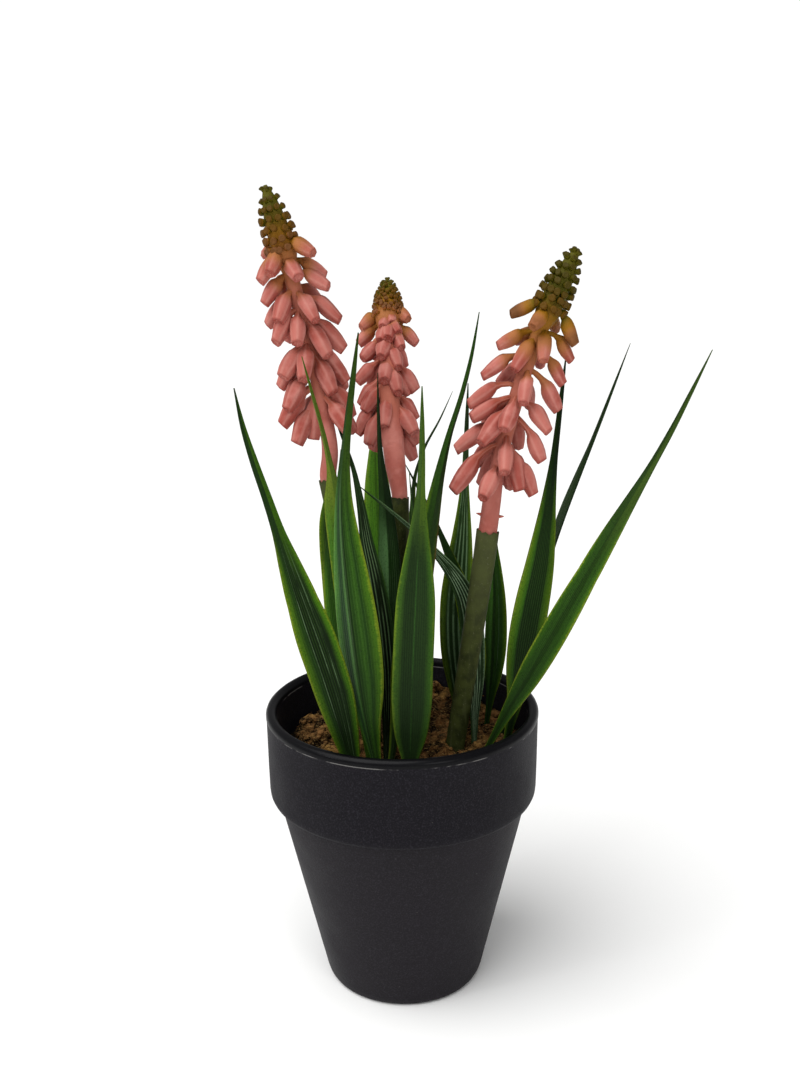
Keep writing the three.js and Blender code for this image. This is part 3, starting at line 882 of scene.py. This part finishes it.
BUD_LENGTHS, BUDS_SHRINK, BUDS_LIFT = (0.9, 1.1), 0.5, 80
BUDS_STRAY, BUDS_NOD, BUDS_SLIP = 9, 6, 0.35
BUD_HEADS_OUT = 1.3
FIRST_ROW, LAST_ROW_SHORT = 0.6, 0.3
BUD_RIPER = 0.75
THORN_SIDES, THORN_WIDTH, THORN_LENGTH, THORN_SUNK, THORN_DROOP = 5, 1.3, 1.9, 0.4, -10
UNRIPE = -1.0
SPIKES = {
    # neck: heights and radii; cone: length of the budded tip, and core: its radius; rows and
    # buds: how many rows of buds, and their size; ripe: how much further down the green goes;
    # sunk: how deep the buds start; width: of the lowest florets, and body: a floret's length
    # without its stalk, in widths; thorns: heights and bearings; florets: height up the axis,
    # bearing round it from the front, droop below square to it, and length
    "left": dict(
        neck=[(0, 2.6), (10, 2.5), (20, 2.2)], cone=20, core=3.8, rows=7, buds=0.82, ripe=-0.2,
        sunk=0.5, width=6.1, body=1.45, thorns=[],
        florets=[
            (72, 60, 25, 11), (71, -125, 0, 8), (69, -65, 30, 11), (70, -35, 30, 10),
            (67, 20, 35, 9), (67, 100, 35, 12), (63, 75, 30, 12), (64, -75, 35, 12),
            (59, -45, 40, 12), (56, -100, 25, 12), (58, 30, 50, 12), (56, 80, 40, 14),
            (53, -60, 35, 13), (53, -20, 50, 12), (50, 45, 60, 14), (50, 95, 50, 15),
            (44, -60, 40, 14), (40, -95, 35, 14), (43, -25, 50, 13), (35, -65, 40, 15),
            (40, 45, 65, 14), (43, 95, 60, 16), (30, -85, 35, 16), (27, -70, 50, 16),
            (29, -80, 70, 15), (28, 50, 55, 15), (35, 95, 65, 18),
        ],
    ),
    "middle": dict(
        neck=[(0, 2.3), (6, 2.7), (12, 3.2), (22, 3.5)], cone=19, core=4.3, rows=10, buds=0.58,
        ripe=-0.26, sunk=0.3, width=5.8, body=1.3, thorns=[],
        florets=[
            (66, -25, 60, 8), (67, 20, 60, 7), (62, 0, 65, 9), (70, -95, 35, 11), (71, 75, 45, 10),
            (65, 50, 60, 9), (65, -115, 25, 12),
            (62, -40, 65, 9), (65, 110, 35, 12), (62, 75, 65, 11), (57, -95, 40, 11),
            (56, -35, 65, 10), (50, -105, 35, 13), (54, 60, 70, 11), (50, 125, 40, 14),
            (45, 45, 70, 12), (48, -20, 70, 11), (44, -110, 45, 14), (41, -105, 50, 13),
            (37, -115, 45, 17), (34, -110, 60, 16), (36, -40, 75, 13), (38, 120, 45, 13),
            (34, 85, 60, 14), (31, 120, 50, 14),
        ],
    ),
    "right": dict(
        neck=[(0, 2.9), (12, 2.8), (20, 2.4)], cone=20, core=3.8, rows=8, buds=0.86, ripe=0.18,
        sunk=0.5, width=5.6, body=1.6, thorns=[(6.5, -90), (6.5, 80)],
        florets=[
            (71, -80, 35, 12), (69, -25, 35, 10), (68, 135, 20, 8), (70, 75, 30, 13),
            (63, -85, 40, 13), (64, 30, 50, 11), (63, 90, 20, 13), (61, -40, 65, 12),
            (55, -85, 40, 15), (52, -155, 35, 9), (58, 85, 30, 14), (52, 10, 50, 13),
            (52, 85, 35, 16), (46, -85, 35, 16), (43, -80, 40, 15), (44, -10, 50, 14),
            (42, 65, 25, 14), (39, -50, 50, 15), (38, 70, 40, 17), (34, -95, 40, 17),
            (32, 10, 50, 14), (29, -70, 55, 21), (26, -155, 60, 13), (30, 60, 55, 16),
            (29, 80, 45, 18), (22, -20, 40, 14),
        ],
    ),
}

floret_master = turned("floret", FLORET_SIDES, [
    # half widths of the belly, and shares of the length
    (0.44, 0.0), (0.37, 0.18), (0.40, 0.30), (0.58, 0.37), (0.81, 0.43), (0.95, 0.50),
    (1.0, 0.58), (0.98, 0.70), (0.89, 0.82), (0.75, 0.93), (0.69, 0.985), (0.63, 1.0),
    (0.47, 0.985), (0.28, 0.95),
])
for vertex in floret_master.data.vertices:
    facet = math.cos(FLORET_FACETS * math.atan2(vertex.co.y, vertex.co.x))
    vertex.co.x *= 1 + FACET_RELIEF * facet
    vertex.co.y *= 1 + FACET_RELIEF * facet
bud_master = turned("bud", BUD_SIDES, [
    (0.8, 0.0), (0.78, 0.35), (0.92, 0.6), (1.0, 0.8), (0.92, 0.95), (0.7, 1.0), (0.4, 0.95),
])
thorn_master = turned("thorn", THORN_SIDES, [(1.0, 0.0), (0.7, 0.3), (0.55, 0.6), (0.12, 1.0)])


def grow(master, where, bearing, droop, length, width, rise, reach=0.0, arch=0.0, stalk=0.0,
         riper=0.0):
    """A copy of a floret, bud or thorn that leaves the axis at a bearing round it from the front,
    and droops below square to it. Its stalk can be stretched to a share of its length, and an
    arch lifts the stalk's end, so that the body hangs. For the paint, each point keeps how ripe
    it is, its share of the length, and its nearness to a ridge."""
    place, side, front, along = where
    bearing, droop = math.radians(bearing), math.radians(droop)
    outward = math.cos(bearing) * front + math.sin(bearing) * side
    point = math.cos(droop) * outward - math.sin(droop) * along
    across = np.cross(along, outward)
    third = np.cross(point, across)
    copy = master.copy()
    copy.data = master.data.copy()
    bpy.context.collection.objects.link(copy)
    growth = copy.data.attributes.new("growth", "FLOAT_VECTOR", "POINT")
    dents = Vector((draw.uniform(0, 90), 0, 0))
    for vertex, datum in zip(copy.data.vertices, growth.data):
        x, y, z = vertex.co
        ridge = 0.5 + 0.5 * math.cos(FLORET_FACETS * math.atan2(y, x))
        dent = 1 + DENTS * noise.noise(Vector((x, y, 1.5 * z)) + dents)
        far, lifted = z, 0
        run = z / FLORET_STALK
        if stalk and run < 1:
            far, lifted = stalk * run, run * (2 - run)
        elif stalk:
            body = (z - FLORET_STALK) / (1 - FLORET_STALK)
            far, lifted = stalk + (1 - stalk) * body, 1 - body
        spot = place + reach * outward + 0.5 * width * dent * (x * across + y * third)
        spot = spot + length * (far * point + arch * lifted * along)
        vertex.co = Vector(spot) * MM
        datum.vector = (rise + riper * z, z, ridge)
    return copy


def petal_paint():
    """Salmon pink, which turns peach, tan and then olive as the flower ripens upwards, with pale
    creases on the ridges. Painted highlights lighten the ridges and cloudy patches, the
    orange-brown stalks carry painted shade in the crevices between the florets, and the mouth is
    darkened as painted shade. The buds' tips are brown."""
    paint = Paint("petal_pink_plastic", Specular_IOR_Level=0.12)
    growth = paint.node("ShaderNodeAttribute", {"attribute_name": "growth"}, output=1)
    rise, reach, ridge = paint.parts(growth)
    spot = paint.place()
    cloud = paint.noise(spot, 240, detail=4)
    tone = paint.noise(spot, 90, detail=1)
    rise = rise + (cloud - 0.5) * 0.30
    pink = paint.mix(paint.step(tone, 0.35, 0.65), colour("9c4b41"), colour("b56a5f"))
    # painted highlights, scattered in cloudy patches
    pink = paint.mix(paint.step(cloud, 0.45, 0.75) * 0.5, pink, colour("c58278"))
    # the stalks and the axis are orange-brown, and this darker orange-brown is also painted shade
    # in the crevices between the florets
    stalk = 1 - paint.step(reach, 0.10, 0.62)
    pink = paint.mix(stalk * 0.7, pink, colour("a0563a"))
    # pale creases on the ridges, made lighter still as painted highlight
    pink = paint.mix(paint.step(ridge, 0.3, 1.0) * 0.35, pink, colour("cb8f83"))
    # painted shade in the floret's mouth
    pink = paint.mix(paint.step(reach, 0.955, 0.985) * 0.45, pink, colour("8a382e"))
    ripe = rise + 0.9 * (0.35 - paint.step(reach, 0.2, 0.95))
    peach = paint.mix(paint.step(ripe, -0.6, 0.0), pink, colour("a0653a"))
    tan = paint.mix(paint.step(ripe, 0.0, 0.35), peach, colour("8c5e12"))
    green = paint.mix(paint.step(ripe, 0.25, 0.85), tan, colour("54500a"))
    tips = paint.step(reach, 0.6, 0.9) * paint.step(rise, 0.3, 0.55)
    green = paint.mix(tips * 0.65, green, colour("2e2002"))
    paint.feed("Base Color", green)
    paint.feed("Roughness", paint.step(cloud, 0.3, 0.7, 0.52, 0.66))
    paint.bump(cloud + 0.5 * paint.noise(spot, 900, detail=3), 0.0005, 0.8)
    return paint.material


class Spike:
    """One flower spike: its route out of the stem, and the pieces that grow along it."""

    def __init__(self, name):
        self.shape = SPIKES[name]
        top, before = np.array(FLOWERS[name]["stem"][:0:-1], float)
        up = (top - before) / np.linalg.norm(top - before)
        foot = [top - NECK_SUNK * up, top + NECK_STRAIGHT * up]
        self.path = route(foot + FLOWERS[name]["axis"])
        self.length = self.path[2]
        self.cone = self.shape["cone"]
        self.cone_start = self.length - self.cone
        self.neck_end = self.shape["neck"][-1][0]
        core = self.shape["core"]
        sections = list(self.shape["neck"])
        sections.append((self.cone_start - WAIST_BELOW_CONE, WAIST_RADIUS))
        sections.append((self.cone_start, core))
        for from_tip, share in CONE_TAPER:
            sections.append((self.length - from_tip * self.cone, share * core))
        sections += [(self.length - 1, 1.0), (self.length, 0.5)]
        self.heights, self.radii = zip(*sections)

    def radius(self, height):
        return float(np.interp(height, self.heights, self.radii))

    def ripeness(self, height):
        """How ripe the spike is at a height: pink well below 0, tan at 0, and olive at 1."""
        return (height - self.cone_start) / self.cone + self.shape["ripe"]

    def axis(self):
        """The neck, the waist between the florets and the cone's core, as one folded rod."""
        shares = [row / AXIS_ROWS for row in range(AXIS_ROWS + 1)]
        profile = [(self.radius(share * self.length), share) for share in shares]
        axis = turned("spike_axis", AXIS_SIDES, profile)
        points = [tuple(vertex.co) for vertex in axis.data.vertices]
        lay(axis, self.path)
        growth = axis.data.attributes.new("growth", "FLOAT_VECTOR", "POINT")
        for datum, (x, y, share) in zip(growth.data, points):
            height = share * self.length
            # up the axis the reach stays low, so the paint gives it the stalks' orange-brown and
            # their painted crevice shade
            reach = 0.5 - 0.35 * clamped((height - self.neck_end) / FLESH_WITHIN)
            # the folds' ridges get the same pale creases and painted highlight as the florets'
            # ridges
            ridge = 0.6 + 0.5 * math.cos(AXIS_FOLDS * math.atan2(y, x))
            datum.vector = (self.ripeness(height), reach, ridge)
        return axis

    def hidden_florets(self):
        """Florets on the far side, in three ranks, shorter and more lifted towards the cone."""
        florets = []
        for index in range(HIDDEN_FLORETS):
            share = (index + 0.5) / HIDDEN_FLORETS
            height = self.neck_end + HIDDEN_FROM
            height += share * (self.cone_start - self.neck_end - HIDDEN_FROM)
            bearing = 180 + HIDDEN_SPREAD * (index * 2 % 3 - 1)
            droop = 45 - 15 * share
            length = 2.5 * self.shape["width"] - 5 * share
            florets.append((height, bearing, droop, length))
        return florets

    def florets(self):
        pieces = []
        for height, bearing, droop, length in self.shape["florets"] + self.hidden_florets():
            share = (height - self.neck_end) / (self.cone_start - self.neck_end)
            width = self.shape["width"] * (1 - FLORETS_NARROW * share)
            width *= draw.uniform(*FLORET_WIDTHS)
            bearing += draw.uniform(-FLORETS_STRAY, FLORETS_STRAY)
            arch = draw.uniform(*FLORET_ARCHES)
            stalk = max(1 - self.shape["body"] * width / length, SHORTEST_STALK)
            rise = self.ripeness(height) + FLORETS_RIPER
            pieces.append(grow(floret_master, at(self.path, height), bearing, droop, length, width,
                               rise, arch=arch, stalk=stalk))
        return pieces

    def buds(self):
        """Rows of buds round the cone, each row turned by half a bud against the one below. They
        grow smaller and turn upwards towards the tip."""
        pieces = []
        rows, size = self.shape["rows"], self.shape["buds"]
        for row in range(rows):
            height = self.cone_start + (row + FIRST_ROW) * self.cone / (rows + LAST_ROW_SHORT)
            core = self.radius(height)
            around = 2 * math.pi * (core + BUD_HEADS_OUT)
            count = max(3, round(around / (BUD_WIDTH * size + BUD_GAP)))
            nearness = (row / rows) ** 2
            shrink = size * (1 - BUDS_SHRINK * nearness)
            for index in range(count):
                bearing = 360 * (index + 0.5 * (row % 2)) / count
                bearing += draw.uniform(-BUDS_STRAY, BUDS_STRAY)
                droop = draw.uniform(-BUDS_NOD, BUDS_NOD) - BUDS_LIFT * nearness
                where = at(self.path, height + draw.uniform(-BUDS_SLIP, BUDS_SLIP))
                length = BUD_LENGTH * shrink * draw.uniform(*BUD_LENGTHS)
                pieces.append(grow(bud_master, where, bearing, droop, length, BUD_WIDTH * shrink,
                                   self.ripeness(height), reach=core - self.shape["sunk"],
                                   riper=BUD_RIPER))
        return pieces

    def thorns(self):
        pieces = []
        for height, bearing in self.shape["thorns"]:
            reach = self.radius(height) - THORN_SUNK
            pieces.append(grow(thorn_master, at(self.path, height), bearing, THORN_DROOP,
                               THORN_LENGTH, THORN_WIDTH, UNRIPE, reach=reach))
        return pieces


petals = petal_paint()
for name in SPIKES:
    spike = Spike(name)
    pieces = [spike.axis(), *spike.florets(), *spike.buds(), *spike.thorns()]
    for piece in pieces:
        smoothed(piece)
    whole = joined("spike_" + name, pieces)
    whole.data.materials.append(petals)
    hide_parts("flower_spike_" + name)
    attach(whole, "root")
for master in (floret_master, bud_master, thorn_master):
    bpy.data.objects.remove(master)
